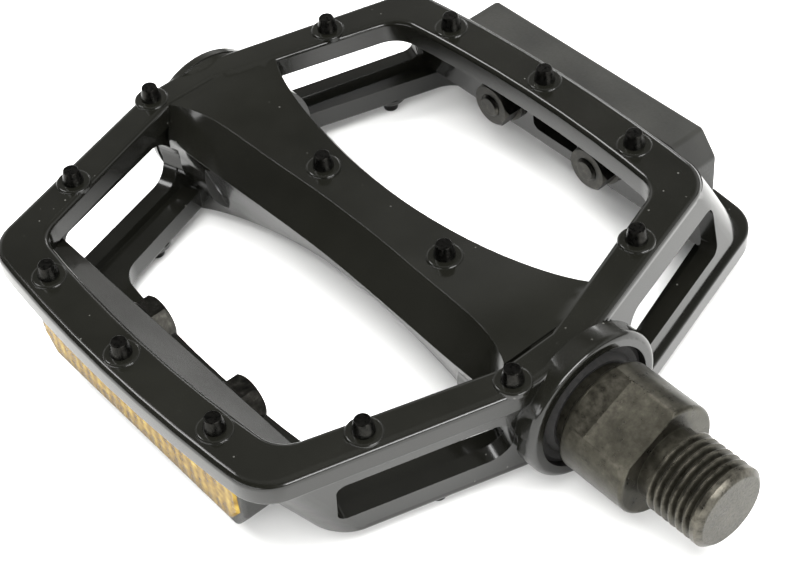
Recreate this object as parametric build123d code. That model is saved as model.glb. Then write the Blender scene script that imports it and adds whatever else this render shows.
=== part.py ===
from build123d import *
import os
from math import sin, cos, pi, sqrt, atan2, degrees

# Flat (platform) bicycle pedal with a cast body, a cup-and-cone spindle,
# traction studs on both faces and a reflector on each long edge.
#
# Axes: +X runs along the spindle toward the crank arm (inboard), +Z is up, and
# the long edges of the platform face -Y (front) and +Y (rear).  The origin is
# on the spindle axis at the middle of the platform.  Units are millimetres.
#
# Half a turn about the spindle maps the body onto itself, so front and top
# features are modelled once and turned to give the rear and bottom ones.

# ---------------------------------------------------------------- dimensions
# platform
HALF_H = 10.5       # half thickness between the two faces
SHIFT = 5.7         # upper face sits this far toward -Y, lower face toward +Y
RIM_T = 4.0         # thickness of the flat rim around each face
WALL_T = 2.7        # thickness of the side walls that join the two rims
WALL_INSET = 0.25   # walls sit this far inside the rim outline
WALL_TOP = HALF_H - 1           # walls end inside the rims
WALL_SHIFT = SHIFT * WALL_TOP / HALF_H
WEB_Y0, WEB_Y1 = 37.2, 39.8     # upright web behind each reflector
WEB_LEN = 64.0
ROOF_Z = 5.1        # underside of the ledge over a reflector

# barrel and bearing bosses
BARREL_END_R = 10.9
NECK_R = 10.3
BOSS_R = 12.0       # inboard boss
OUT_BOSS_R = BOSS_R - 0.6
INB_END = 46.5      # inboard end of the body
OUT_END = -44.9     # outboard end of the body
BORE_R = 6.0        # grease bore through the barrel
SEAT_R = 9.5        # seats of the two bearing cups
RECESS_R = 10.0     # seal recess at the inboard mouth

# traction studs
STUD_R = 1.6        # root radius
STUD_TIP_R = 1.2    # radius at the flat tip
STUD_H = 2.3        # height above the pad
STUD_DEPTH = 3.0    # depth below the pad
STUD_STRAIGHT = 0.5     # straight part above the pad
PAD_R = 2.75
PAD_H = 0.35
PAD_SUNK = 0.6      # part of a pad below the surface

# bearings
BALL_R = 3.175 / 2  # 1/8 in balls
BALL_CIRCLE_R = 6.9
BALL_COUNT = 11
RACE_R = BALL_R + 0.02
BALLS_IN_X = 40.6   # plane of the inboard balls
BALLS_OUT_X = -33.0     # plane of the outboard balls
CUP_BACK = 3.2      # cup length behind the ball plane
CUP_FRONT = 2.4     # cup length on the open side of the ball plane
CONE_R = 6.55
RECESS_X = BALLS_IN_X + CUP_FRONT + 1.0

# spindle
THREAD_R = 6.35     # 1/2 in x 20 tpi crank thread
PITCH = 25.4 / 20
THREAD_X0, THREAD_X1 = 62.05, 71.6
THREAD_CREST = 0.26     # width of a flat crest
THREAD_ROOT = 0.16      # width of a flat root
THREAD_DEPTH = 0.72
RELIEF_R = 5.55     # neck between shoulder and thread
SHOULDER_X = 60.0   # face that seats on the crank arm
COLLAR_R = 8.8
COLLAR_X0 = 48.0
COLLAR_ROUND = 0.8  # rounding of the collar's inner edge, away from the crank
SHOULDER_ROUND = 0.6
FLAT_AF = 14.3      # 9/16 in across the wrench flats
FLAT_X0 = 51.8
FLAT_RAMP = 2.9     # length of the sloped run-out at the end of a flat
FLAT_ROLL = 115.0   # roll of the flats about the spindle axis, degrees
HUB_R = 7.0
SHAFT_END = -42.0
END_THREAD_R = 4.0
KEY_Z = 3.3         # height of the key flat for the tabbed washer

# parts on the outboard end of the spindle
CONE_END = BALLS_OUT_X - 4.0
WASHER_END = CONE_END - 1.0
LOCK_NUT_T = 3.2
LOCK_NUT_END = WASHER_END - LOCK_NUT_T

# reflectors and their bolts
FACE_Y = -46.5      # front of the housing
LENS_Y = FACE_Y + 2.2   # back of the lens
TRAY_Z0, TRAY_Z1 = -7.8, ROOF_Z - 0.1
TRAY_HALF_LEN = 25.8
LENS_INSET = 1.3    # lens outline inside the housing outline
BOLT_X = 11.0
BOLT_R = 2.0
BOLT_END_Y = -32.9
HEAD_Y = -WEB_Y1 - 1.7  # floor of the housing, where the bolt head seats
HEAD_T = 1.9
HEX_R = 3.5         # half the width across flats of head and nut
WASHER_T = 0.8
NUT_T = 3.0

# stud places (x, y) on the upper rim, y from the centre line of that face
RIM_STUDS = [(side * x, y) for side in (1, -1)
             for x, y in [(34.8, 25.5), (34.8, -25.5), (20.4, 39.7), (20.4, -39.7),
                          (42.0, -5.3)]]
RIM_STUDS += [(0, 40.9), (0, -40.9)]
# surface points (x, y, z) of the studs on each face
RIM_SPOTS = [(x, y - SHIFT, HALF_H) for x, y in RIM_STUDS]
BARREL_SPOTS = [(-11.0, -0.8, 8.95), (16.8, -0.8, 9.25)]

# Barrel sections from the inboard end to the middle; the outboard half mirrors
# them.  Columns: x; widest front flank (y); front crest (y, z); rear lip of
# the top (y, z); underside of that lip (y, z).  Front values of y are negated.
BARREL_STATIONS = [
    (38.8, 11.2, 9.6, 10.44, 11.8, 10.40, 10.6, 7.0),
    (34.0, 11.2, 7.6, 10.42, 8.6, 10.20, 8.8, 6.8),
    (28.0, 11.1, 6.5, 10.15, 6.4, 9.8, 7.5, 6.3),
    (21.0, 10.8, 5.9, 9.6, 4.9, 9.2, 6.6, 5.8),
    (12.0, 10.4, 5.2, 9.1, 3.7, 8.7, 5.8, 5.3),
    (0.0, 10.1, 4.8, 8.9, 3.1, 8.5, 5.4, 5.0),
]
FLANK_Z = 4.4       # height of the widest flank


# ------------------------------------------------------------------- helpers
def save(shape, name):
    export_step(shape, f"parts/{name}.step")


def half_turn(shape):
    """Half a turn about the spindle axis: front/top becomes rear/bottom."""
    return shape.rotate(Axis.X, 180)


def save_with_turned(shapes, name):
    save(Compound(children=shapes + [half_turn(shape) for shape in shapes]), name)


def cylinder_x(radius, x0, x1):
    """Cylinder on the spindle axis from x0 to x1."""
    return Pos((x0 + x1) / 2, 0, 0) * (Rot(0, 90, 0) * Cylinder(radius, abs(x1 - x0)))


def cylinder_y(radius, length, x, y):
    """Cylinder along Y at z = 0, centred on (x, y)."""
    return Pos(x, y, 0) * (Rot(90, 0, 0) * Cylinder(radius, length))


def hexagon_y(x, y, length):
    """Bolt-sized hexagonal prism from y toward -Y."""
    hexagon = RegularPolygon(HEX_R, 6, major_radius=False)
    return Pos(x, y, 0) * (Rot(90, 0, 0) * extrude(hexagon, amount=length))


def disc_x(radius, x):
    return Pos(x, 0, 0) * Rot(0, 90, 0) * Circle(radius)


def polygon(points):
    return Face(Wire(Polyline(*points, close=True).edges()))


def prism_y(points, y0, y1):
    """Polygon given in (x, z), extruded from y0 up to y1."""
    return extrude(polygon([(x, y0, z) for x, z in points]), amount=y1 - y0, dir=(0, 1, 0))


def revolve_x(points):
    """Polygon given in (x, radius), revolved about the spindle axis."""
    return revolve(polygon([(x, 0, radius) for x, radius in points]), axis=Axis.X)


def race(x):
    """Ring cut to form the ball track in the plane x."""
    return Pos(x, 0, 0) * (Rot(0, 90, 0) * Torus(BALL_CIRCLE_R, RACE_R))


# ------------------------------------------------------------- plan outlines
def crowned(x0, x1, y, bulge, runs=8):
    """Gently crowned edge from (x0, y) to (x1, y), as short straight runs."""
    half = (x1 - x0) / 2
    radius = (half * half + bulge * bulge) / (2 * abs(bulge))
    sign = 1 if bulge > 0 else -1
    points = []
    for i in range(runs + 1):
        x = x0 + (x1 - x0) * i / runs
        from_middle = x - (x0 + x1) / 2
        rise = sqrt(radius * radius - from_middle * from_middle) - (radius - abs(bulge))
        points.append((x, y + sign * rise))
    points[0], points[-1] = (x0, y), (x1, y)
    return [Line(a, b) for a, b in zip(points[:-1], points[1:])]


def eight_sided(tip_x, side_x, corner_y, lean, crown):
    """Plan with flat tips at x = +-tip_x, tapered sides that would meet y = 0
    at side_x, and crowned long edges that start at corner_y."""
    tip_y = (side_x - tip_x) / lean
    corner_x = side_x - lean * corner_y
    edges = [Line((corner_x, -corner_y), (tip_x, -tip_y)),
             Line((tip_x, -tip_y), (tip_x, tip_y)),
             Line((tip_x, tip_y), (corner_x, corner_y))]
    edges += crowned(corner_x, -corner_x, corner_y, crown)
    edges += [Line((-corner_x, corner_y), (-tip_x, tip_y)),
              Line((-tip_x, tip_y), (-tip_x, -tip_y)),
              Line((-tip_x, -tip_y), (-corner_x, -corner_y))]
    edges += crowned(-corner_x, corner_x, -corner_y, -crown)
    return Face(Wire(edges))


def round_corners(face, corner_y, radius):
    corners = [v for v in face.vertices() if abs(abs(v.Y) - corner_y) < 1e-3]
    return fillet(corners, radius)


def outline(inset, z, y_centre):
    """Plan of the platform with every side moved inward by inset."""
    lean = 0.30
    corner_y = 42.7 - inset
    side_x = 45.9 - inset * sqrt(1 + lean * lean)
    face = eight_sided(44.2 - inset, side_x, corner_y, lean, crown=1.9)
    tips = [v for v in face.vertices() if abs(v.Y) < 20]
    face = fillet(tips, 6.0 - inset)
    face = round_corners(face, corner_y, 7.0 - inset)
    return Pos(0, y_centre, z) * face


def opening(z, y_centre):
    """Plan of the window inside a rim."""
    corner_y = 35.4
    face = eight_sided(38.9, 40.4, corner_y, lean=0.33, crown=1.8)
    return Pos(0, y_centre, z) * round_corners(face, corner_y, 5.0)


# ------------------------------------------------------------------ the body
def upper_rim():
    """Flat ring with softened edges."""
    rim = extrude(outline(0, HALF_H - RIM_T, -SHIFT), amount=RIM_T, dir=(0, 0, 1))
    rim = fillet(rim.edges().filter_by(Plane.XY).group_by(Axis.Z)[-1], 1.1)
    rim = fillet(rim.edges().filter_by(Plane.XY).group_by(Axis.Z)[0], 0.5)
    hole = opening(HALF_H - RIM_T - 1, -SHIFT)
    rim = rim - extrude(hole, amount=RIM_T + 2, dir=(0, 0, 1))
    inner_top = [e for e in rim.edges().filter_by(Plane.XY).group_by(Axis.Z)[-1]
                 if abs(e.center().Y + SHIFT) < 38.4 and abs(e.center().X) < 40.5]
    # guards against a failed fillet; the selected top edges then stay sharp
    try:
        rim = fillet(inner_top, 0.9)
    except Exception:
        pass
    return rim


def sheared(inset):
    """Platform outline extruded on a slant from the lower to the upper face."""
    length = sqrt((2 * WALL_SHIFT) ** 2 + (2 * WALL_TOP) ** 2)
    slant = (0, -2 * WALL_SHIFT / length, 2 * WALL_TOP / length)
    return extrude(outline(inset, -WALL_TOP, WALL_SHIFT), amount=length, dir=slant)


def side_walls():
    """Sheared wall between the rims, opened at both reflectors."""
    walls = sheared(WALL_INSET) - sheared(WALL_INSET + WALL_T)
    pocket = Pos(0, -WEB_Y1 - 10, -2.0) * Box(2 * 27.4, 20, 2 * HALF_H - 4.2)
    pocket = fillet(pocket.edges().filter_by(Axis.Y), 1.8)
    # matching clearance behind the web
    behind = Pos(0, -WEB_Y0 + 6, 0) * Box(2 * 28.5, 12, 2 * HALF_H - 2 * RIM_T)
    behind = fillet(behind.edges().filter_by(Axis.Y), 2.0)
    return walls - pocket - behind - half_turn(pocket) - half_turn(behind)


def front_web():
    """Upright web behind the front reflector."""
    web = (Pos(0, -(WEB_Y0 + WEB_Y1) / 2, (ROOF_Z - WALL_TOP) / 2)
           * Box(WEB_LEN, WEB_Y1 - WEB_Y0, ROOF_Z + WALL_TOP))
    # sloped roof that ties the web to the underside of the rim, in (y, z)
    roof = [(-46.0, 7.6), (-42.6, 7.6), (-WEB_Y0, 5.4), (-WEB_Y0, 4.0),
            (-39.0, 4.0), (-39.0, ROOF_Z), (-46.0, ROOF_Z)]
    roof_face = polygon([(-WEB_LEN / 2, y, z) for y, z in roof])
    web = web + extrude(roof_face, amount=WEB_LEN, dir=(1, 0, 0))
    web = web & sheared(1.2)
    # discs around the bolt holes, flush with the web's inner face
    for side in (1, -1):
        web = web + cylinder_y(5.0, 1.2, side * BOLT_X, -WEB_Y0 - 0.6)
    window = Pos(0, -WEB_Y0, 0) * Box(10.0, 12, 6.6)
    return web - fillet(window.edges().filter_by(Axis.Y), 1.4)


def barrel_section(x, flank_y, crest_y, crest_z, lip_y, lip_z, under_y, under_z):
    """Eight-sided section; the lower half is the upper one turned half a turn."""
    upper = [(-flank_y, FLANK_Z), (-crest_y, crest_z), (lip_y, lip_z), (under_y, under_z)]
    points = upper + [(-y, -z) for y, z in upper]
    return polygon([(x, y, z) for y, z in points])


def waisted_barrel():
    sections = [barrel_section(*row) for row in BARREL_STATIONS]
    sections += [barrel_section(-row[0], *row[1:]) for row in BARREL_STATIONS[-2::-1]]
    return loft(sections)


def boss_pieces():
    """Barrel ends, bearing bosses and the necks that lead up to them."""
    ends = cylinder_x(BARREL_END_R, 30, 44.0) + cylinder_x(BARREL_END_R, -30, -43.6)
    ends = ends & Box(120, 60, 2 * HALF_H - 1.0)
    inboard = cylinder_x(BOSS_R, 43.0, INB_END)
    inboard = fillet(inboard.edges().group_by(Axis.X)[-1], 1.0)
    outboard = cylinder_x(OUT_BOSS_R, -43.0, OUT_END)
    outboard = fillet(outboard.edges().group_by(Axis.X)[0], 0.9)
    neck_in = loft([disc_x(NECK_R, 41.5), disc_x(BOSS_R, 44.6)])
    neck_out = loft([disc_x(NECK_R, -41.0), disc_x(OUT_BOSS_R, -43.6)])
    return [ends, inboard, outboard, neck_in, neck_out]


def wall_window(side_x, side_y):
    """Cutter for the window through one tapered side wall, rounded at the
    end near the boss."""
    far_x, far_y = 34.6, 37.0
    near_x, near_y = 43.0, 11.4
    height = 8.8
    drop = 0.7      # front windows sit low, rear ones high
    length = sqrt((near_x - far_x) ** 2 + (near_y - far_y) ** 2)
    angle = degrees(atan2(near_y - far_y, near_x - far_x))
    cutter = Box(length, 12.0, height)
    near = [e for e in cutter.edges().filter_by(Axis.Y) if e.center().X > 0]
    cutter = fillet(near, height / 2 - 0.15)
    far = [e for e in cutter.edges().filter_by(Axis.Y)
           if e.center().X < -length / 2 + 0.5]
    cutter = fillet(far, 1.6)
    middle = Pos((far_x + near_x) / 2, (far_y + near_y) / 2, 0)
    cutter = middle * (Rot(0, 0, angle) * cutter)
    if side_x < 0:
        cutter = mirror(cutter, about=Plane.YZ)
    if side_y < 0:
        cutter = mirror(cutter, about=Plane.XZ)
    return Pos(0, 0, side_y * drop) * cutter


def stud_pad(x, y, z):
    pad = Pos(x, y, z + (PAD_H - PAD_SUNK) / 2) * Cylinder(PAD_R, PAD_H + PAD_SUNK)
    return fillet(pad.edges().group_by(Axis.Z)[-1], 0.4)


def pedal_body():
    web = front_web()
    rim = upper_rim()
    body = rim + half_turn(rim) + side_walls() + web + half_turn(web)
    for piece in [waisted_barrel()] + boss_pieces():
        body = body + piece
    for side_x in (1, -1):
        for side_y in (1, -1):
            body = body - wall_window(side_x, side_y)

    # grease bore, cup seats and seal recess
    body = body - cylinder_x(BORE_R, -60, 60)
    body = body - cylinder_x(SEAT_R, BALLS_IN_X - CUP_BACK, 60)
    body = body - cylinder_x(RECESS_R, RECESS_X, 60)
    body = body - cylinder_x(SEAT_R, BALLS_OUT_X + CUP_BACK, -60)

    pads, holes = [], []
    hole_len = 10
    for x, y, z in RIM_SPOTS + BARREL_SPOTS:
        pad = stud_pad(x, y, z)
        hole_z = z + PAD_H - STUD_DEPTH + hole_len / 2
        hole = Pos(x, y, hole_z) * Cylinder(STUD_R, hole_len)
        pads += [pad, half_turn(pad)]
        holes += [hole, half_turn(hole)]
    body = body + pads
    body = body - holes

    # reflector bolt holes through both webs
    for side in (1, -1):
        hole = cylinder_y(BOLT_R + 0.15, 12, side * BOLT_X, -WEB_Y0)
        body = body - hole - half_turn(hole)

    # keep only the main solid if the cuts leave loose slivers
    if len(body.solids()) > 1:
        body = max(body.solids(), key=lambda solid: solid.volume)
    return body


# ------------------------------------------------------------ traction studs
def stud(x, y, z):
    """A straight root under a tapered, flat-topped tip."""
    seat = z + PAD_H
    root = (Pos(x, y, seat + (STUD_STRAIGHT - STUD_DEPTH) / 2)
            * Cylinder(STUD_R, STUD_DEPTH + STUD_STRAIGHT))
    root = chamfer(root.edges().group_by(Axis.Z)[0], 0.3)
    tip_h = STUD_H - STUD_STRAIGHT
    tip = Pos(x, y, seat + STUD_STRAIGHT + tip_h / 2) * Cone(STUD_R, STUD_TIP_R, tip_h)
    whole = root + tip
    return fillet(whole.edges().group_by(Axis.Z)[-1], 0.22)


# ------------------------------------------------------------------- spindle
def crank_thread():
    """Threaded end: one V groove per pitch, with flat crests and roots."""
    x = THREAD_X0 + 0.35
    profile = [(THREAD_X0, 0), (THREAD_X0, RELIEF_R), (x, THREAD_R)]
    flank = (PITCH - THREAD_CREST - THREAD_ROOT) / 2
    root_r = THREAD_R - THREAD_DEPTH
    for _ in range(int((THREAD_X1 - 0.9 - x - THREAD_CREST) / PITCH)):
        x += THREAD_CREST
        profile += [(x, THREAD_R), (x + flank, root_r), (x + flank + THREAD_ROOT, root_r)]
        x += 2 * flank + THREAD_ROOT
        profile += [(x, THREAD_R)]
    profile += [(THREAD_X1 - 0.8, THREAD_R), (THREAD_X1 - 0.1, 5.6),
                (THREAD_X1, 5.4), (THREAD_X1, 0)]
    return revolve_x(profile)


def collar_rims(shape):
    return [e for e in shape.edges()
            if e.geom_type == GeomType.CIRCLE and abs(e.radius - COLLAR_R) < 1e-6]


def spindle():
    shaft = revolve_x([
        (SHAFT_END, 0), (SHAFT_END, END_THREAD_R - 0.5), (SHAFT_END + 0.5, END_THREAD_R),
        (BALLS_OUT_X + 3.0, END_THREAD_R), (BALLS_OUT_X + 3.4, 4.6), (10, 4.9),
        (BALLS_IN_X - 2.2, 5.2), (BALLS_IN_X, 5.2), (BALLS_IN_X, CONE_R),
        (BALLS_IN_X + 3.2, CONE_R), (BALLS_IN_X + 3.6, HUB_R), (COLLAR_X0, HUB_R),
        (COLLAR_X0, COLLAR_R), (SHOULDER_X, COLLAR_R), (SHOULDER_X, RELIEF_R),
        (THREAD_X0, RELIEF_R), (THREAD_X0, 0)])
    shaft = fillet([e for e in collar_rims(shaft) if e.center().X > 55], SHOULDER_ROUND)
    shaft = fillet([e for e in collar_rims(shaft) if e.center().X < 50], COLLAR_ROUND)
    shaft = shaft - race(BALLS_IN_X)

    # wrench flats, open toward the crank, each with a sloped run-out
    half_af = FLAT_AF / 2
    ramp_h = 3.0
    ramp_run = FLAT_RAMP * ramp_h / (COLLAR_R - half_af)
    block_len = SHOULDER_X + 4 - FLAT_X0
    for side in (1, -1):
        block = (Pos(FLAT_X0 + block_len / 2, 0, side * (half_af + 5))
                 * Box(block_len, 30, 10))
        block = block & cylinder_x(12, FLAT_X0, SHOULDER_X)
        low, high = side * half_af, side * (half_af + ramp_h)
        ramp = prism_y([(FLAT_X0 + 0.5, low), (FLAT_X0, low),
                        (FLAT_X0 - ramp_run, high), (FLAT_X0 + 0.5, high)], -12, 12)
        shaft = shaft - ramp.rotate(Axis.X, FLAT_ROLL - 90)
        shaft = shaft - block.rotate(Axis.X, FLAT_ROLL - 90)

    shaft = shaft + crank_thread()
    key_flat = Pos(-38.5, 0, KEY_Z + 2) * Box(7.2, 10, 4)
    return shaft - key_flat


# ------------------------------------------------------------------ bearings
def cup(x, side):
    """Bearing cup whose race opens toward +X (side = 1) or -X (side = -1)."""
    back, front = x - side * CUP_BACK, x + side * CUP_FRONT
    ring = revolve_x([(back, 6.15), (back, SEAT_R), (front, SEAT_R), (front, 8.7),
                      (x, 8.7), (x, 6.15)])
    return ring - race(x)


def balls(x):
    ring = []
    for i in range(BALL_COUNT):
        angle = 2 * pi * i / BALL_COUNT
        centre = Pos(x, BALL_CIRCLE_R * cos(angle), BALL_CIRCLE_R * sin(angle))
        ring.append(centre * Sphere(BALL_R))
    return Compound(children=ring)


def outboard_cone():
    slot_x = BALLS_OUT_X - 3.4
    cone = revolve_x([(BALLS_OUT_X, END_THREAD_R), (BALLS_OUT_X, CONE_R), (slot_x, CONE_R),
                      (CONE_END, 6.1), (CONE_END, END_THREAD_R)])
    cone = cone - race(BALLS_OUT_X)
    for side in (1, -1):
        cone = cone - Pos(slot_x, 0, side * 6.6) * Box(1.6, 2.4, 2.2)
    return cone


def lock_washer():
    """Washer whose hole follows the key flat of the spindle."""
    hole = cylinder_x(END_THREAD_R, WASHER_END - 1, CONE_END + 1)
    below_key = Pos(CONE_END, 0, KEY_Z - 13.3 / 2) * Box(6, 12, 13.3)
    return cylinder_x(5.9, WASHER_END, CONE_END) - (hole & below_key)


def lock_nut():
    """Hexagonal nut with its outboard corners rounded off by a sphere."""
    hexagon = RegularPolygon(6.5, 6, major_radius=False)
    nut = Pos(LOCK_NUT_END, 0, 0) * (Rot(0, 90, 0) * extrude(hexagon, amount=LOCK_NUT_T))
    nut = nut & (Pos(LOCK_NUT_END + 7.5, 0, 0) * Sphere(9.92))
    return nut - cylinder_x(END_THREAD_R, LOCK_NUT_END - 1, WASHER_END + 1)


def dust_cap():
    """Cap in the outboard mouth, with a cross slot in its face."""
    face_x = OUT_END - 0.6
    cap = revolve_x([(-42.6, 0), (-42.6, 8.2), (-42.2, 8.2), (-42.2, SEAT_R),
                     (OUT_END, SEAT_R), (OUT_END - 0.5, 8.9), (OUT_END - 0.75, 6.0),
                     (face_x, 5.2), (face_x, 0)])
    for roll in (0, 90):
        cap = cap - (Pos(face_x, 0, 0) * Rot(roll, 0, 0) * Box(1.6, 1.4, 7.0))
    return cap


def inboard_seal():
    bore_r = HUB_R + 0.06
    return revolve_x([(RECESS_X, bore_r), (RECESS_X, RECESS_R), (45.2, RECESS_R), (45.5, 9.3),
                      (45.2, 8.3), (46.1, 7.5), (46.1, bore_r)])


# ---------------------------------------------------------------- reflectors
def tray(inset):
    """Reflector outline in (x, z) with cut lower corners, moved inward by inset."""
    end_x = TRAY_HALF_LEN - inset
    bottom_x = TRAY_HALF_LEN - 3 - inset * 0.6
    top_z, bottom_z = TRAY_Z1 - inset, TRAY_Z0 + inset
    cut_z = TRAY_Z0 + 4.2 + inset * 0.4
    return [(-end_x, top_z), (end_x, top_z), (end_x, cut_z), (bottom_x, bottom_z),
            (-bottom_x, bottom_z), (-end_x, cut_z)]


def reflector_housing():
    housing = prism_y(tray(0), FACE_Y, -WEB_Y1)
    housing = fillet(housing.edges().filter_by(Axis.Y), 1.2)
    housing = fillet(housing.edges().group_by(Axis.Y)[0], 0.7)
    housing = housing - prism_y(tray(LENS_INSET), FACE_Y - 1, HEAD_Y)
    # ledge that carries the lens
    ledge = (prism_y(tray(1.0), LENS_Y, LENS_Y + 0.8)
             - prism_y(tray(2.2), LENS_Y - 0.1, LENS_Y + 0.9))
    housing = housing + ledge
    for side in (1, -1):
        # walls that stop the bolt head from turning, then the bolt hole
        for z in (-4.5, 4.45):
            housing = housing + Pos(side * BOLT_X, HEAD_Y - 1.2, z) * Box(6.0, 2.4, 0.8)
        housing = housing - cylinder_y(BOLT_R + 0.1, 8, side * BOLT_X, -WEB_Y1)
    return housing


def reflector_lens():
    """Lens with vertical V grooves moulded into its back."""
    lens = prism_y(tray(LENS_INSET), FACE_Y - 0.4, LENS_Y)
    lens = chamfer(lens.edges().group_by(Axis.Y)[0], 0.4)
    groove_z = -5.9
    grooves = []
    for x in range(-22, 23, 2):
        section_face = polygon([(x - 0.95, LENS_Y + 0.01, groove_z),
                                (x + 0.95, LENS_Y + 0.01, groove_z),
                                (x, LENS_Y - 0.75, groove_z)])
        grooves.append(extrude(section_face, amount=9.6, dir=(0, 0, 1)))
    return lens - grooves


def reflector_bolt(x):
    head = hexagon_y(x, HEAD_Y, HEAD_T)
    shank = cylinder_y(BOLT_R, BOLT_END_Y - HEAD_Y, x, (HEAD_Y + BOLT_END_Y) / 2)
    return head + chamfer(shank.edges().group_by(Axis.Y)[-1], 0.4)


def reflector_nut(x):
    """Nut with its inner corners rounded off by a sphere."""
    end_y = -WEB_Y0 + WASHER_T + NUT_T
    rounding = Pos(x, end_y - 4.0, 0) * Sphere(5.32)
    nut = hexagon_y(x, end_y, NUT_T) & rounding
    return nut - cylinder_y(BOLT_R, 10, x, -WEB_Y0 + 2)


def reflector_washer(x):
    disc = cylinder_y(4.3, WASHER_T, x, -WEB_Y0 + WASHER_T / 2)
    return disc - cylinder_y(BOLT_R + 0.1, 10, x, -WEB_Y0)


# -------------------------------------------------------------------- export
os.makedirs("parts", exist_ok=True)

save(pedal_body(), "pedal_body")
save_with_turned([stud(*spot) for spot in RIM_SPOTS], "rim_studs")
save_with_turned([stud(*spot) for spot in BARREL_SPOTS], "barrel_studs")

save(spindle(), "spindle")
save(cup(BALLS_IN_X, 1), "inboard_cup")
save(cup(BALLS_OUT_X, -1), "outboard_cup")
save(balls(BALLS_IN_X), "inboard_balls")
save(balls(BALLS_OUT_X), "outboard_balls")
save(outboard_cone(), "outboard_cone")
save(lock_washer(), "lock_washer")
save(lock_nut(), "lock_nut")
save(dust_cap(), "dust_cap")
save(inboard_seal(), "inboard_seal")

for part, name in ((reflector_housing(), "reflector_housing"),
                   (reflector_lens(), "reflector_lens")):
    save(part, f"front_{name}")
    save(half_turn(part), f"rear_{name}")

for make, name in ((reflector_bolt, "reflector_bolts"), (reflector_nut, "reflector_nuts"),
                   (reflector_washer, "reflector_washers")):
    save_with_turned([make(BOLT_X), make(-BOLT_X)], name)
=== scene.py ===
# A bicycle pedal: a gloss black body on a spindle that lies along X, its bare end
# toward +X, with an amber reflector on the -Y side (front) and the +Y side (rear).
# +Z is up, and the floor touches the lowest point. Lengths are in metres unless
# a name or comment says mm.
import bpy
import math
from mathutils import Matrix, Vector


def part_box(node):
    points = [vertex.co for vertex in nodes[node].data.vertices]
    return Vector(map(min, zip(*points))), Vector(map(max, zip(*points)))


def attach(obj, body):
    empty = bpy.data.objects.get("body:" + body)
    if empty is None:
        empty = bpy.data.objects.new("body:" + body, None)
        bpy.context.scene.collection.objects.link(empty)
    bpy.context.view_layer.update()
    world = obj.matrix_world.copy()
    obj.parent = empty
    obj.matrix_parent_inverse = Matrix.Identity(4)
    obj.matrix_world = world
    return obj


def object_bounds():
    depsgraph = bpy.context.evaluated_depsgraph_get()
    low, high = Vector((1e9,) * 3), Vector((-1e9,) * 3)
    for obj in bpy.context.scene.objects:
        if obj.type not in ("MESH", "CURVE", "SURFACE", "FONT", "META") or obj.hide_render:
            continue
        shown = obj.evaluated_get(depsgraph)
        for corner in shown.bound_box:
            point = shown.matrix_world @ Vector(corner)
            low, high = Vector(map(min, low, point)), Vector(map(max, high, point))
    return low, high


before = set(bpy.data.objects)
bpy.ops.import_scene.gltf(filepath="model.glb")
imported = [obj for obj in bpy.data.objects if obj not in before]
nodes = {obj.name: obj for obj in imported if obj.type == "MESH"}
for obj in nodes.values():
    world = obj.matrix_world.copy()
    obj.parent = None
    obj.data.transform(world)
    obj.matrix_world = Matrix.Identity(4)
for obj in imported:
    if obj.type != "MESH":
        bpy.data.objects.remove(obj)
bounds_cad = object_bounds()
scene = bpy.context.scene
MM = 0.001


# ------------------------------------------------------------- node helpers
def plug(tree, value, socket):
    """Set a socket to a number or an RGB tuple, or link an output to it."""
    if isinstance(value, (int, float)):
        socket.default_value = value
    elif isinstance(value, tuple):
        socket.default_value = (*value, 1)
    else:
        tree.links.new(value, socket)


def colour_ramp(tree, factor, stops):
    """stops are (position, grey value or RGB tuple)."""
    node = tree.nodes.new("ShaderNodeValToRGB")
    elements = node.color_ramp.elements
    while len(elements) < len(stops):
        elements.new(0.5)
    for element, (position, colour) in zip(elements, stops):
        element.position = position
        if isinstance(colour, (int, float)):
            colour = (colour, colour, colour)
        element.color = (*colour, 1)
    tree.links.new(factor, node.inputs[0])
    return node.outputs[0]


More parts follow.
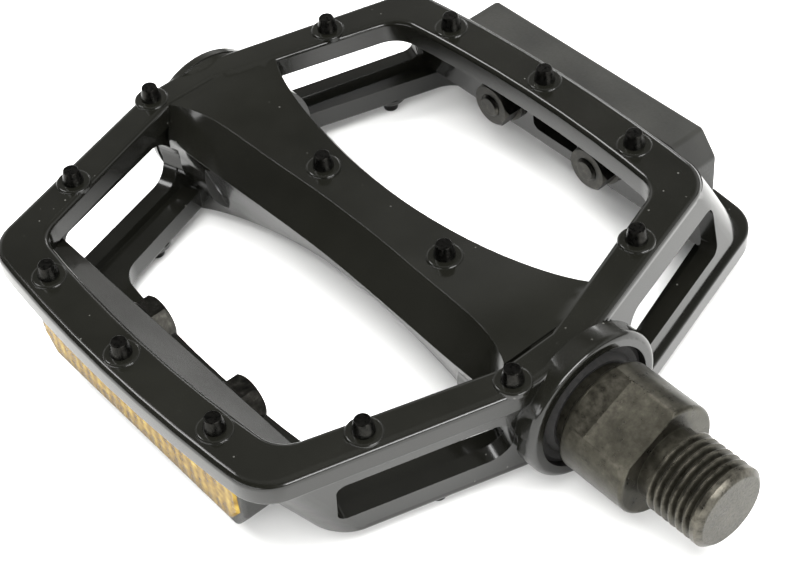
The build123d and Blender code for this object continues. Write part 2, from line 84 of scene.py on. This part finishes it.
class Mat:
    """A node material; its methods add nodes and return their outputs."""

    def __init__(self, name):
        self.material = bpy.data.materials.new(name)
        self.material.use_nodes = True
        self.tree = self.material.node_tree
        self.bsdf = self.tree.nodes["Principled BSDF"]
        self.geometry = self.new("ShaderNodeNewGeometry")

    def new(self, kind):
        return self.tree.nodes.new(kind)

    def link(self, output, socket):
        self.tree.links.new(output, socket)

    def set(self, **inputs):
        """Set or link shader inputs; an underscore stands for a space."""
        for name, value in inputs.items():
            plug(self.tree, value, self.bsdf.inputs[name.replace("_", " ")])

    def scaled_position(self, per_mm):
        node = self.new("ShaderNodeVectorMath")
        node.operation = "SCALE"
        node.inputs["Scale"].default_value = 1000.0 * per_mm
        self.link(self.geometry.outputs["Position"], node.inputs[0])
        return node.outputs[0]

    def noise(self, per_mm, detail=4.0, rough=0.5, distort=0.0):
        """per_mm is in cycles per millimetre."""
        node = self.new("ShaderNodeTexNoise")
        node.inputs["Scale"].default_value = 1.0
        node.inputs["Detail"].default_value = detail
        node.inputs["Roughness"].default_value = rough
        node.inputs["Distortion"].default_value = distort
        self.link(self.scaled_position(per_mm), node.inputs["Vector"])
        return node.outputs[0]

    def voronoi(self, per_mm):
        node = self.new("ShaderNodeTexVoronoi")
        node.inputs["Scale"].default_value = 1.0
        self.link(self.scaled_position(per_mm), node.inputs["Vector"])
        return node.outputs["Distance"]

    def ramp(self, factor, stops):
        return colour_ramp(self.tree, factor, stops)

    def fade(self, factor, low, high, start=0.3, end=0.7):
        """A ramp from low at start to high at end."""
        return self.ramp(factor, [(start, low), (end, high)])

    def math(self, operation, *values):
        node = self.new("ShaderNodeMath")
        node.operation = operation
        for value, socket in zip(values, node.inputs):
            plug(self.tree, value, socket)
        return node.outputs[0]

    def times(self, value, by):
        return self.math("MULTIPLY", value, by)

    def plus(self, first, second):
        return self.math("ADD", first, second)

    def mix(self, factor, first, second):
        node = self.new("ShaderNodeMix")
        node.data_type = "RGBA"
        # sockets 0, 6 and 7 are the factor and the two colours
        for index, value in ((0, factor), (6, first), (7, second)):
            plug(self.tree, value, node.inputs[index])
        return node.outputs[2]

    def axis(self, name):
        node = self.new("ShaderNodeSeparateXYZ")
        self.link(self.geometry.outputs["Position"], node.inputs[0])
        return node.outputs[name]

    def bump(self, height, depth_mm, strength=0.5, edge_mm=0.0):
        """Surface relief, with edges rounded to edge_mm where given."""
        node = self.new("ShaderNodeBump")
        node.inputs["Strength"].default_value = strength
        node.inputs["Distance"].default_value = depth_mm * MM
        self.link(height, node.inputs["Height"])
        if edge_mm:
            bevel = self.new("ShaderNodeBevel")
            bevel.samples = 4
            bevel.inputs["Radius"].default_value = edge_mm * MM
            self.link(bevel.outputs[0], node.inputs["Normal"])
        self.link(node.outputs[0], self.bsdf.inputs["Normal"])

    def edges(self):
        """1 on sharp outer edges, from the pointiness of the mesh."""
        pointiness = self.geometry.outputs["Pointiness"]
        return self.fade(pointiness, low=0.0, high=1.0, start=0.52, end=0.60)

    def give(self, *names):
        """Make this the only material of the named pieces."""
        for name in names:
            slots = nodes[name].data.materials
            slots.clear()
            slots.append(self.material)


# ---------------------------------------------------------------- materials
def make_paint():
    """Gloss black coating over the cast body, with patches of dust specks."""
    mat = Mat("gloss_black_coating")
    fine = mat.noise(per_mm=1.1, detail=3.0, rough=0.55)
    broad = mat.noise(per_mm=0.06, detail=3.0)
    dust = mat.ramp(mat.voronoi(per_mm=0.42), [(0.0, 1.0), (0.055, 1.0), (0.075, 0.0)])
    patches = mat.fade(mat.noise(per_mm=0.11, detail=2.0), low=0.0, high=1.0,
                       start=0.52, end=0.64)
    specks = mat.times(dust, by=patches)
    black = mat.fade(broad, low=(0.0036, 0.0036, 0.0028), high=(0.0054, 0.0054, 0.0042))
    dust_colour = (0.20, 0.20, 0.18)
    mat.set(
        Base_Color=mat.mix(mat.times(specks, by=0.30), black, dust_colour),
        Roughness=mat.fade(mat.noise(per_mm=0.12, detail=3.0), low=0.12, high=0.19),
        IOR=1.5, Coat_Weight=0.2, Coat_Roughness=0.05)
    relief = mat.plus(mat.times(fine, by=0.6), mat.times(specks, by=0.8))
    mat.bump(relief, depth_mm=0.010, strength=0.45, edge_mm=0.14)
    mat.give("pedal_body")


def make_spindle_steel():
    """Blackened steel with a painted highlight on its sharp edges, bare beyond the end plane
    in X.
    """
    mat = Mat("blackened_spindle_steel")
    coarse = mat.noise(per_mm=0.22, detail=6.0, rough=0.68, distort=0.3)
    middle = mat.noise(per_mm=0.9, detail=5.0, rough=0.6)
    fine = mat.noise(per_mm=2.6, detail=3.0, rough=0.6)
    mottle = mat.plus(mat.times(coarse, by=0.6), mat.times(middle, by=0.4))
    blackened = mat.ramp(mottle, [
        (0.34, (0.022, 0.0205, 0.0155)),
        (0.47, (0.038, 0.0355, 0.027)),
        (0.57, (0.058, 0.0545, 0.042)),
        (0.70, (0.098, 0.092, 0.074)),
    ])
    # stops are X in metres: the bare end starts at about 71.4 mm
    end_mask = mat.ramp(mat.axis("X"), [(0.0, 0.0), (0.07135, 0.0), (0.07142, 1.0)])
    bare = mat.ramp(fine, [
        (0.36, (0.016, 0.015, 0.013)),
        (0.47, (0.075, 0.071, 0.062)),
        (0.66, (0.13, 0.124, 0.11)),
    ])
    # painted highlight: the sharp edges are lightened toward pale brown in patches, standing
    # in for glints on the thread crests and collar
    patchy = mat.fade(middle, low=0.15, high=1.0, start=0.38, end=0.62)
    painted_edge_highlight = mat.times(mat.edges(), by=patchy)
    edge_highlight_colour = (0.26, 0.24, 0.20)
    blackened_with_highlight = mat.mix(mat.times(painted_edge_highlight, by=0.55), blackened, edge_highlight_colour)
    mat.set(
        Base_Color=mat.mix(end_mask, blackened_with_highlight, bare),
        Roughness=mat.fade(middle, low=0.25, high=0.40),
        Metallic=0.86)
    relief = mat.plus(mat.times(middle, by=0.7), mat.times(fine, by=0.5))
    mat.bump(relief, depth_mm=0.03, strength=0.6, edge_mm=0.15)
    mat.give("spindle")


def make_studs():
    """Black-oxide socket set screws, with a painted highlight on their edges."""
    mat = Mat("black_oxide_studs")
    grain = mat.noise(per_mm=1.6, rough=0.6)
    oxide = mat.fade(grain, low=(0.010, 0.010, 0.009), high=(0.022, 0.021, 0.019),
                     start=0.35, end=0.65)
    # painted highlight: the sharp edges are lightened to stand in for glints on the stud rims
    stud_highlight_colour = (0.10, 0.10, 0.09)
    mat.set(
        Base_Color=mat.mix(mat.times(mat.edges(), by=0.35), oxide, stud_highlight_colour),
        Roughness=mat.fade(grain, low=0.22, high=0.38),
        Metallic=0.95)
    mat.bump(mat.noise(per_mm=3.0, detail=2.0), depth_mm=0.012, edge_mm=0.12)
    mat.give("rim_studs", "barrel_studs")


def make_fasteners():
    mat = Mat("dark_zinc_fasteners")
    grain = mat.noise(per_mm=0.8, detail=5.0, rough=0.62)
    mat.set(
        Base_Color=mat.ramp(grain, [
            (0.3, (0.020, 0.020, 0.018)),
            (0.55, (0.045, 0.043, 0.038)),
            (0.75, (0.10, 0.096, 0.085)),
        ]),
        Roughness=mat.fade(grain, low=0.28, high=0.46),
        Metallic=1.0)
    mat.bump(mat.noise(per_mm=2.2, detail=3.0), depth_mm=0.02, edge_mm=0.15)
    mat.give("reflector_bolts", "reflector_nuts", "reflector_washers",
             "lock_nut", "lock_washer")


def make_bearing_steel():
    mat = Mat("ground_bearing_steel")
    grain = mat.noise(per_mm=0.9, detail=5.0, rough=0.6)
    mat.set(
        Base_Color=mat.fade(grain, low=(0.52, 0.52, 0.54), high=(0.68, 0.68, 0.70)),
        Roughness=mat.fade(grain, low=0.10, high=0.22),
        Metallic=1.0)
    mat.bump(mat.noise(per_mm=3.5, detail=2.0), depth_mm=0.004)
    mat.give("inboard_cup", "outboard_cup", "outboard_cone",
             "inboard_balls", "outboard_balls")


def make_black_plastic():
    mat = Mat("moulded_black_plastic")
    grain = mat.noise(per_mm=2.4, detail=3.0, rough=0.6)
    broad = mat.noise(per_mm=0.10, detail=3.0)
    mat.set(
        Base_Color=mat.fade(broad, low=(0.010, 0.010, 0.009), high=(0.018, 0.018, 0.016)),
        Roughness=mat.fade(grain, low=0.36, high=0.52))
    mat.bump(grain, depth_mm=0.03, edge_mm=0.3)
    mat.give("front_reflector_housing", "rear_reflector_housing", "dust_cap")


def make_seal_rubber():
    mat = Mat("seal_rubber")
    grain = mat.noise(per_mm=1.2, rough=0.6)
    mat.set(
        Base_Color=mat.fade(grain, low=(0.010, 0.010, 0.010), high=(0.024, 0.023, 0.022)),
        Roughness=mat.fade(grain, low=0.50, high=0.72),
        Specular_IOR_Level=0.18)
    mat.bump(mat.noise(per_mm=2.5, detail=2.0), depth_mm=0.03)
    mat.give("inboard_seal")


def make_lens():
    """Tinted plastic whose moulded prisms show as upright bands."""
    mat = Mat("amber_lens_plastic")
    band_rate = 3141.6    # radians per metre: one band every 2 mm along X
    cloud = mat.noise(per_mm=0.35, rough=0.6)
    bands = mat.math("SINE", mat.times(mat.axis("X"), by=band_rate))
    cells = mat.voronoi(per_mm=0.9)
    pattern = mat.plus(
        mat.times(bands, by=0.09),
        mat.plus(mat.times(cells, by=0.25), mat.times(cloud, by=0.65)))
    amber = mat.ramp(pattern, [
        (0.25, (0.11, 0.060, 0.006)),
        (0.45, (0.23, 0.138, 0.016)),
        (0.62, (0.38, 0.255, 0.040)),
        (0.80, (0.54, 0.41, 0.10)),
    ])
    # darker toward the two long edges; stops are |Z| in centimetres
    across_cm = mat.times(mat.math("ABSOLUTE", mat.axis("Z")), by=100.0)
    brightness = mat.ramp(across_cm, [(0.0, 1.0), (0.36, 0.95), (0.60, 0.30)])
    deep_amber = (0.055, 0.030, 0.004)
    mat.set(
        Base_Color=mat.mix(brightness, deep_amber, amber),
        Roughness=mat.fade(cloud, low=0.16, high=0.28),
        Transmission_Weight=0.12, IOR=1.49, Specular_IOR_Level=0.16)
    mat.bump(mat.plus(mat.times(bands, by=0.5), cells), depth_mm=0.05)
    mat.give("front_reflector_lens", "rear_reflector_lens")


def make_prism_backing():
    mat = Mat("prism_backing")
    mat.set(
        Base_Color=mat.ramp(mat.voronoi(per_mm=0.55), [
            (0.0, (0.42, 0.31, 0.09)),
            (0.5, (0.20, 0.135, 0.03)),
            (1.0, (0.06, 0.036, 0.006)),
        ]),
        Roughness=mat.fade(mat.noise(per_mm=0.8), low=0.16, high=0.30),
        Metallic=0.75)
    return mat.material


make_paint()
make_spindle_steel()
make_studs()
make_fasteners()
make_bearing_steel()
make_black_plastic()
make_seal_rubber()
make_lens()
prism_material = make_prism_backing()


# ---------------------------------------------------------- shading normals
FLAT_COS = math.cos(math.radians(0.6))    # faces closer than this are one flat
SOFT_COS = math.cos(math.radians(3.5))    # flats closer than this are one curve
HARD_COS = math.cos(math.radians(35.0))   # edges sharper than this stay hard
FLAT_MIN_AREA = 3e-6        # square metres for a group to count as a flat
STRAY_MIN_AREA = 1e-10      # smaller faces can't disqualify a flat
SLIVER_AREA = 1e-12         # smaller faces take normals from across hard edges


def measure_face(points):
    """Normal, area and corner angles of a face, from its first three points."""
    first, second, third = points[:3]
    normal = (second - first).cross(third - first)
    length = normal.length
    count = len(points)
    angles = [
        (points[(i + 1) % count] - points[i]).angle(points[i - 1] - points[i], 0.0)
        for i in range(count)
    ]
    unit = normal / length if length > 1e-16 else Vector((0, 0, 0))
    return unit, length / 2, angles


def face_edges(face):
    """The edges of a face as sorted pairs of point numbers."""
    return [tuple(sorted((face[i], face[(i + 1) % len(face)]))) for i in range(len(face))]


def group_faces(faces, normals):
    """A group number for each face, joining edge neighbours whose normals agree,
    and the first face met at each edge."""
    parent = list(range(len(faces)))

    def find(i):
        while parent[i] != i:
            parent[i] = parent[parent[i]]
            i = parent[i]
        return i

    edge_face = {}
    for f, face in enumerate(faces):
        for edge in face_edges(face):
            other = edge_face.setdefault(edge, f)
            if other != f and normals[f].dot(normals[other]) > FLAT_COS:
                parent[find(f)] = find(other)
    return [find(f) for f in range(len(faces))], edge_face


def find_flats(faces, normals, areas):
    """Each face's group, the normal of each flat group, and group areas."""
    groups, edge_face = group_faces(faces, normals)
    totals, sizes = {}, {}
    for group, normal, area in zip(groups, normals, areas):
        totals[group] = totals.get(group, Vector((0, 0, 0))) + normal * area
        sizes[group] = sizes.get(group, 0.0) + area
    flats = {
        group: total.normalized() for group, total in totals.items()
        if sizes[group] > FLAT_MIN_AREA and total.length > 0
    }
    # a group with a face that strays from its mean normal is not flat
    for group, normal, area in zip(groups, normals, areas):
        if group in flats and area > STRAY_MIN_AREA and normal.dot(flats[group]) < FLAT_COS:
            del flats[group]
    # neighbouring flats that turn by only a degree or two are one soft curve
    soft = set()
    for group, face in zip(groups, faces):
        if group not in flats:
            continue
        for edge in face_edges(face):
            other = groups[edge_face[edge]]
            if other != group and other in flats and flats[other].dot(flats[group]) > SOFT_COS:
                soft.update((other, group))
    for group in soft:
        del flats[group]
    return groups, flats, sizes


def shade_like_cad(mesh):
    """Give every corner a shading normal that suits a machined or cast shape:
    flat faces are exactly flat, the fillets beside them start from the flat
    face's normal, and hard edges stay hard."""
    # vertices at the same place share one point number
    numbers, point_of = {}, []
    for vertex in mesh.vertices:
        key = tuple(round(value * 1e7) for value in vertex.co)
        point_of.append(numbers.setdefault(key, len(numbers)))
    places = [vertex.co.copy() for vertex in mesh.vertices]
    polygons = [tuple(polygon.vertices) for polygon in mesh.polygons]
    normals, areas, angles = [], [], []
    for polygon in polygons:
        normal, area, corners = measure_face([places[v] for v in polygon])
        normals.append(normal)
        areas.append(area)
        angles.append(corners)
    faces = [[point_of[v] for v in polygon] for polygon in polygons]
    around = [[] for _ in numbers]
    for f, face in enumerate(faces):
        for corner, point in enumerate(face):
            around[point].append((f, corner))
    groups, flats, sizes = find_flats(faces, normals, areas)

    def corner_normal(f, point):
        """The largest flat at this point, or else the mean weighted by angle."""
        best, best_size, total = None, 0.0, Vector((0, 0, 0))
        for other, corner in around[point]:
            if normals[other].dot(normals[f]) < HARD_COS and areas[f] > SLIVER_AREA:
                continue
            group = groups[other]
            if group in flats and sizes[group] > best_size:
                best, best_size = flats[group], sizes[group]
            total = total + normals[other] * angles[other][corner]
        if best is not None:
            return best
        return total.normalized() if total.length > 0 else normals[f]

    shading = []
    for f, face in enumerate(faces):
        own = flats.get(groups[f])
        for point in face:
            shading.append(tuple(corner_normal(f, point) if own is None else own))
    mesh.polygons.foreach_set("use_smooth", [True] * len(polygons))
    mesh.normals_split_custom_set(shading)
    mesh.update()


for name in nodes:
    shade_like_cad(nodes[name].data)


# ------------------------------------------------------- prisms behind lenses
PRISM_GAP = 0.00015         # from the lens's inner face to the sheet
PRISM_MARGIN = 0.0009       # sheet edge inside the lens edge
PRISM_STEP = 0.00125        # nominal pitch
PRISM_HEIGHT = 0.00042
PRISM_WALL = 0.00012
CORNER_CUT = 0.0030
CORNER_CLEARANCE = 0.0012


def add_object(name, verts, faces, material):
    mesh = bpy.data.meshes.new(name)
    mesh.from_pydata(verts, [], faces)
    mesh.update()
    thing = bpy.data.objects.new(name, mesh)
    scene.collection.objects.link(thing)
    mesh.materials.append(material)
    return thing


def prism_sheet(name, lens_name):
    """A sheet of small pyramids just behind a lens, pointing inward."""
    low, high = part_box(lens_name)
    front = (low[1] + high[1]) < 0
    inward = 1.0 if front else -1.0
    y = (high[1] + PRISM_GAP) if front else (low[1] - PRISM_GAP)
    tip_y = y + inward * PRISM_HEIGHT
    x0, x1 = low[0] + PRISM_MARGIN, high[0] - PRISM_MARGIN
    z0, z1 = low[2] + PRISM_MARGIN, high[2] - PRISM_MARGIN
    count_x, count_z = int((x1 - x0) / PRISM_STEP), int((z1 - z0) / PRISM_STEP)
    pitch_x, pitch_z = (x1 - x0) / count_x, (z1 - z0) / count_z
    verts, faces = [], []
    for i in range(count_x):
        for j in range(count_z):
            x, z = x0 + i * pitch_x, z0 + j * pitch_z
            mid_x, mid_z = x + pitch_x / 2, z + pitch_z / 2
            # stay clear of the cut corners: the lower two in front, upper two at the rear
            from_side = min(mid_x - low[0], high[0] - mid_x)
            from_edge = (mid_z - low[2]) if front else (high[2] - mid_z)
            if from_side + from_edge < CORNER_CUT + CORNER_CLEARANCE:
                continue
            k = len(verts)
            verts += [(x, y, z), (x + pitch_x, y, z), (x + pitch_x, y, z + pitch_z),
                      (x, y, z + pitch_z), (mid_x, tip_y, mid_z)]
            for a, b in ((0, 1), (1, 2), (2, 3), (3, 0)):
                faces.append((k + a, k + b, k + 4) if front else (k + b, k + a, k + 4))
    sheet = add_object(name, verts, faces, prism_material)
    solid = sheet.modifiers.new("thickness", "SOLIDIFY")
    solid.thickness = PRISM_WALL
    solid.offset = 0.0
    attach(sheet, "pedal")


prism_sheet("front_reflector_prisms", "front_reflector_lens")
prism_sheet("rear_reflector_prisms", "rear_reflector_lens")


# -------------------------------------------------------------------- floor
def make_floor_material():
    mat = Mat("pale_floor")
    pale = mat.fade(mat.noise(per_mm=0.004, detail=3.0),
                    low=(0.80, 0.80, 0.79), high=(0.83, 0.83, 0.82))
    # mirrored in the gloss coating the floor is dimmer than it looks directly
    ray = mat.new("ShaderNodeLightPath")
    dimming = mat.times(ray.outputs["Is Glossy Ray"], by=0.6)
    mirrored_colour = (0.34, 0.34, 0.33)
    mat.set(Base_Color=mat.mix(dimming, pale, mirrored_colour), Roughness=0.6)
    # seen from below, the floor is clear so the underside can be looked at
    clear = mat.new("ShaderNodeBsdfTransparent")
    either = mat.new("ShaderNodeMixShader")
    mat.link(mat.geometry.outputs["Backfacing"], either.inputs[0])
    mat.link(mat.bsdf.outputs[0], either.inputs[1])
    mat.link(clear.outputs[0], either.inputs[2])
    mat.link(either.outputs[0], mat.tree.nodes["Material Output"].inputs["Surface"])
    return mat.material


FLOOR_HALF = 3.0
floor_z = bounds_cad[0][2]
floor_corners = [(sx * FLOOR_HALF, sy * FLOOR_HALF, floor_z)
                 for sx, sy in ((-1, -1), (1, -1), (1, 1), (-1, 1))]
add_object("floor", floor_corners, [(0, 1, 2, 3)], make_floor_material())

# ------------------------------------------------------------------- lights
LIGHT_TARGET = Vector((0, 0, 0))
# name, place, width and height, watts, shows in glossy reflections
LIGHTS = (
    ("overhead", (0.05, 0.0, 1.25), (1.5, 1.5), 74.0, False),
    ("camera_side", (0.75, -0.85, 0.85), (0.9, 0.7), 14.0, False),
    ("front_low", (0.1, -1.2, 0.20), (1.2, 0.16), 2.4, True),
    ("side_low", (1.2, 0.05, 0.45), (0.8, 0.30), 9.0, True),
    ("upper_left", (-0.70, -0.28, 0.95), (0.30, 0.30), 2.6, True),
    ("rear_glint", (-0.55, 0.75, 0.42), (0.25, 0.10), 0.45, True),
)
for name, place, size, watts, glossy in LIGHTS:
    light = bpy.data.lights.new(name, "AREA")
    light.shape = "RECTANGLE"
    light.size, light.size_y = size
    light.energy = watts
    lamp = bpy.data.objects.new(name, light)
    scene.collection.objects.link(lamp)
    lamp.location = place
    aim = LIGHT_TARGET - Vector(place)
    lamp.rotation_euler = aim.to_track_quat("-Z", "Y").to_euler()
    lamp.visible_glossy = glossy

# -------------------------------------------------------------------- world
# height of the view direction (Z), brightness
SKY = ((0.0, 0.22), (0.14, 0.30), (0.32, 0.95), (0.50, 0.50),
       (0.62, 0.22), (0.71, 0.07), (0.86, 0.30))
# the room darkens toward -Y, the camera's side
SIDE_DIMMING = {"From Min": -0.55, "From Max": 0.0, "To Min": 0.10, "To Max": 1.0}


def make_world():
    world = bpy.data.worlds.new("studio")
    scene.world = world
    world.use_nodes = True
    tree = world.node_tree
    link = tree.links.new
    background = tree.nodes["Background"]
    coords = tree.nodes.new("ShaderNodeTexCoord")
    split = tree.nodes.new("ShaderNodeSeparateXYZ")
    link(coords.outputs["Generated"], split.inputs[0])
    # blue is held back to warm the grey slightly
    stops = [(height, (grey, grey, grey * 0.98)) for height, grey in SKY]
    sky = colour_ramp(tree, split.outputs["Z"], stops)
    side = tree.nodes.new("ShaderNodeMapRange")
    for name, value in SIDE_DIMMING.items():
        side.inputs[name].default_value = value
    link(split.outputs["Y"], side.inputs["Value"])
    dimmed = tree.nodes.new("ShaderNodeVectorMath")
    dimmed.operation = "SCALE"
    link(sky, dimmed.inputs[0])
    link(side.outputs[0], dimmed.inputs["Scale"])
    link(dimmed.outputs[0], background.inputs["Color"])
    background.inputs["Strength"].default_value = 1.0


make_world()

# ------------------------------------------------------------------- camera
# The pose turns world axes into view axes: X right, Y down, Z forward.
VIEW_TURN = Vector((2.23469951, 1.01659158, -0.5534174))    # axis times radians
VIEW_OFFSET = Vector((15.72949917, -12.71332121, 296.28166117)) * MM

camera = bpy.data.cameras.new("camera")
camera.sensor_width = 36.0    # mm
camera.lens = 86.90094        # mm
camera.shift_x = 0.1548575    # shifts are fractions of the frame width
camera.shift_y = 0.049725
camera.clip_start = 0.01
camera.clip_end = 20.0
viewer = bpy.data.objects.new("camera", camera)
scene.collection.objects.link(viewer)
to_world = Matrix.Rotation(VIEW_TURN.length, 3, VIEW_TURN.normalized()).transposed()
# a Blender camera has Y up and looks along -Z
pose = (to_world @ Matrix(((1, 0, 0), (0, -1, 0), (0, 0, -1)))).to_4x4()
pose.translation = -(to_world @ VIEW_OFFSET)
viewer.matrix_world = pose
scene.camera = viewer
scene.view_settings.view_transform = "Standard"
